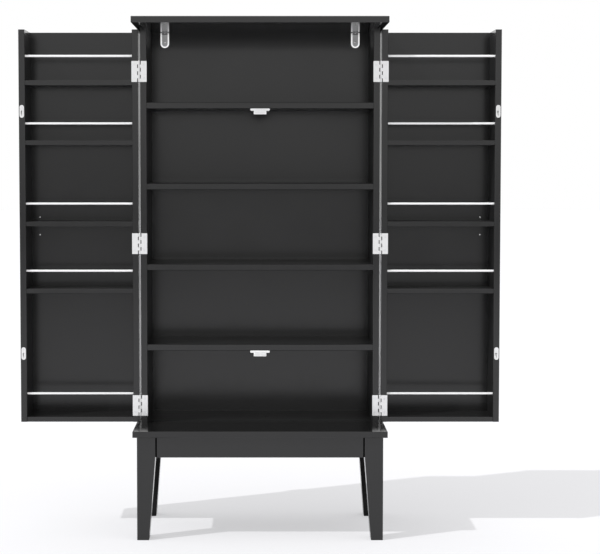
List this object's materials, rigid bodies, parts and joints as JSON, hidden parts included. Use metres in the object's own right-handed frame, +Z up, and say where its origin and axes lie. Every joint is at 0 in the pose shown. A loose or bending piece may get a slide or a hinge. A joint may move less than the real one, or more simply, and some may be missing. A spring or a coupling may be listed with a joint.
{
  "type": "buffet cabinet",
  "caption": "Tall free-standing buffet cabinet on tapered legs, with fixed shelves and two rack doors that swing on butt hinges.",
  "frame": {"origin": "on the floor, under the middle of the top panel and of the open doors", "axes": "+Z up, front towards -Y, +X to the right of someone facing the open front"},
  "size_m": [1.178, 0.37, 1.25],
  "materials": {
    "black_board": "satin black paint",
    "rail_metal": "bright plated",
    "hinge_steel": "zinc plated",
    "screw_steel": "zinc plated",
    "pull_metal": "satin black paint",
    "strike_plate": "zinc plated",
    "magnet": "sintered",
    "catch_plastic": "moulded",
    "bracket_steel": "zinc plated"
  },
  "bodies": {
    "cabinet": {"back_panel": "black_board", "base_panel": "black_board", "bracket_screws": "screw_steel", "case_hinge_screws": "screw_steel", "catch_magnets": "magnet", "catch_screws": "screw_steel", "front_apron": "black_board", "glue_blocks": "black_board", "left_apron": "black_board", "left_bracket": "bracket_steel", "left_case_hinge_leaves": "hinge_steel", "left_front_leg": "black_board", "left_hinge_pins": "hinge_steel", "left_rear_leg": "black_board", "left_side": "black_board", "lower_catch": "catch_plastic", "rear_apron": "black_board", "right_apron": "black_board", "right_bracket": "bracket_steel", "right_case_hinge_leaves": "hinge_steel", "right_front_leg": "black_board", "right_hinge_pins": "hinge_steel", "right_rear_leg": "black_board", "right_side": "black_board", "shelf_1": "black_board", "shelf_2": "black_board", "shelf_3": "black_board", "shelf_4": "black_board", "top_panel": "black_board", "upper_catch": "catch_plastic"},
    "left_door": {"left_door_free_stile": "black_board", "left_door_hinge_leaves": "hinge_steel", "left_door_hinge_screws": "screw_steel", "left_door_hinge_stile": "black_board", "left_door_panel": "black_board", "left_door_pull": "pull_metal", "left_door_pull_screws": "screw_steel", "left_door_rails": "rail_metal", "left_door_shelf_1": "black_board", "left_door_shelf_2": "black_board", "left_door_shelf_3": "black_board", "left_door_shelf_4": "black_board", "left_door_shelf_5": "black_board", "left_door_strike_screws": "screw_steel", "left_door_strikes": "strike_plate"},
    "right_door": {"right_door_free_stile": "black_board", "right_door_hinge_leaves": "hinge_steel", "right_door_hinge_screws": "screw_steel", "right_door_hinge_stile": "black_board", "right_door_panel": "black_board", "right_door_pull": "pull_metal", "right_door_pull_screws": "screw_steel", "right_door_rails": "rail_metal", "right_door_shelf_1": "black_board", "right_door_shelf_2": "black_board", "right_door_shelf_3": "black_board", "right_door_shelf_4": "black_board", "right_door_shelf_5": "black_board", "right_door_strike_screws": "screw_steel", "right_door_strikes": "strike_plate"}
  },
  "joints": [
    {"name": "left_door_hinge", "type": "hinge", "parent": "cabinet", "child": "left_door", "pos_m": [-0.295, -0.04075, 0], "axis": [0, 0, 1], "range_deg": [0, 180]},
    {"name": "right_door_hinge", "type": "hinge", "parent": "cabinet", "child": "right_door", "pos_m": [0.295, -0.04075, 0], "axis": [0, 0, -1], "range_deg": [0, 180]}
  ]
}
